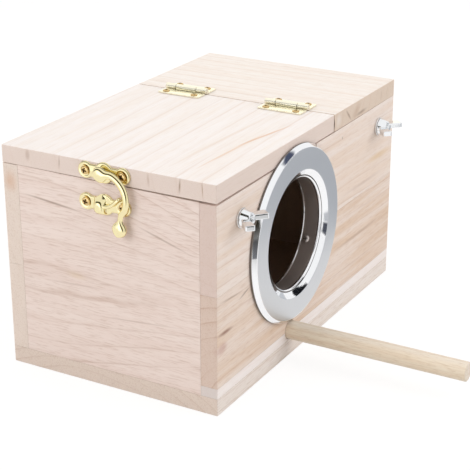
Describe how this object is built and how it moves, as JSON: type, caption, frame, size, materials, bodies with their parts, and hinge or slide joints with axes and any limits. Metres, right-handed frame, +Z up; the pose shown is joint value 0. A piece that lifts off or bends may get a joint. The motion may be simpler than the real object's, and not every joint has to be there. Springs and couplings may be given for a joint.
{
  "type": "parrot nest box",
  "caption": "Wooden nest box with a hinged lid and swing-hook latch, a round metal-lined entrance, a dowel perch and two wing-nut bolts that clamp it to a cage.",
  "frame": {"origin": "centre of the box's underside", "axes": "+Z up, -Y out of the front with the entrance, -X towards the end with the latch"},
  "size_m": [0.2053, 0.217, 0.1203],
  "materials": {
    "pale_wood": "bare sanded paulownia",
    "brown_wood": "bare sanded paulownia",
    "perch_wood": "bare dowel",
    "aluminium": "turned, satin face",
    "zinc": "bright zinc plated steel",
    "brass": "bright plated pressings"
  },
  "bodies": {
    "box": {"base_board": "pale_wood", "front_panel_bottom": "pale_wood", "front_panel_middle": "brown_wood", "front_panel_upper": "pale_wood", "back_panel_lower": "pale_wood", "back_panel_upper": "pale_wood", "clasp_end_panel": "pale_wood", "far_end_panel": "pale_wood", "hinge_strip": "pale_wood", "fixed_top_board": "pale_wood", "entrance_ring": "aluminium", "ring_screw_1": "zinc", "ring_screw_2": "zinc", "ring_screw_3": "zinc", "hinge_front_fixed_leaf": "brass", "hinge_front_pin": "brass", "hinge_front_fixed_screw_1": "brass", "hinge_front_fixed_screw_2": "brass", "hinge_back_fixed_leaf": "brass", "hinge_back_pin": "brass", "hinge_back_fixed_screw_1": "brass", "hinge_back_fixed_screw_2": "brass", "latch_keeper": "brass", "keeper_screw_back": "brass", "keeper_screw_front": "brass", "clamp_bolt_latch_end": "zinc", "clamp_bolt_far_end": "zinc"},
    "lid": {"lid_board": "pale_wood", "hinge_front_lid_leaf": "brass", "hinge_front_lid_screw_1": "brass", "hinge_front_lid_screw_2": "brass", "hinge_back_lid_leaf": "brass", "hinge_back_lid_screw_1": "brass", "hinge_back_lid_screw_2": "brass", "latch_plate": "brass", "latch_rivet": "brass", "latch_plate_screw_back": "brass", "latch_plate_screw_front": "brass"},
    "latch_arm": {"latch_arm": "brass"},
    "perch": {"perch": "perch_wood"},
    "washer_latch_end": {"clamp_washer_latch_end": "zinc"},
    "nut_latch_end": {"wing_nut_latch_end": "zinc"},
    "washer_far_end": {"clamp_washer_far_end": "zinc"},
    "nut_far_end": {"wing_nut_far_end": "zinc"}
  },
  "joints": [
    {"name": "lid_hinge", "type": "hinge", "parent": "box", "child": "lid", "pos_m": [0.02205, 0, 0.1187], "axis": [0, 1, 0], "range_deg": [0, 180]},
    {"name": "latch_swing", "type": "hinge", "parent": "lid", "child": "latch_arm", "pos_m": [-0.1026, 0, 0.1126], "axis": [-1, 0, 0], "range_deg": [0, 110]},
    {"name": "perch_pull", "type": "slide", "parent": "box", "child": "perch", "axis": [0, -1, 0], "range_m": [0, 0.009]},
    {"name": "washer_slide_latch_end", "type": "slide", "parent": "box", "child": "washer_latch_end", "axis": [0, -1, 0], "range_m": [0, 0.0035]},
    {"name": "nut_spin_latch_end", "type": "hinge", "parent": "washer_latch_end", "child": "nut_latch_end", "pos_m": [-0.0774, -0.0612, 0.0939], "axis": [0, -1, 0], "range_deg": [0, 1800]},
    {"name": "washer_slide_far_end", "type": "slide", "parent": "box", "child": "washer_far_end", "axis": [0, -1, 0], "range_m": [0, 0.0035]},
    {"name": "nut_spin_far_end", "type": "hinge", "parent": "washer_far_end", "child": "nut_far_end", "pos_m": [0.0794, -0.0612, 0.095], "axis": [0, -1, 0], "range_deg": [0, 1800]}
  ],
  "couplings": [
    {"joint": "washer_slide_latch_end", "follows": "nut_spin_latch_end", "m_per_rad": 0.00011141},
    {"joint": "washer_slide_far_end", "follows": "nut_spin_far_end", "m_per_rad": 0.00011141}
  ]
}
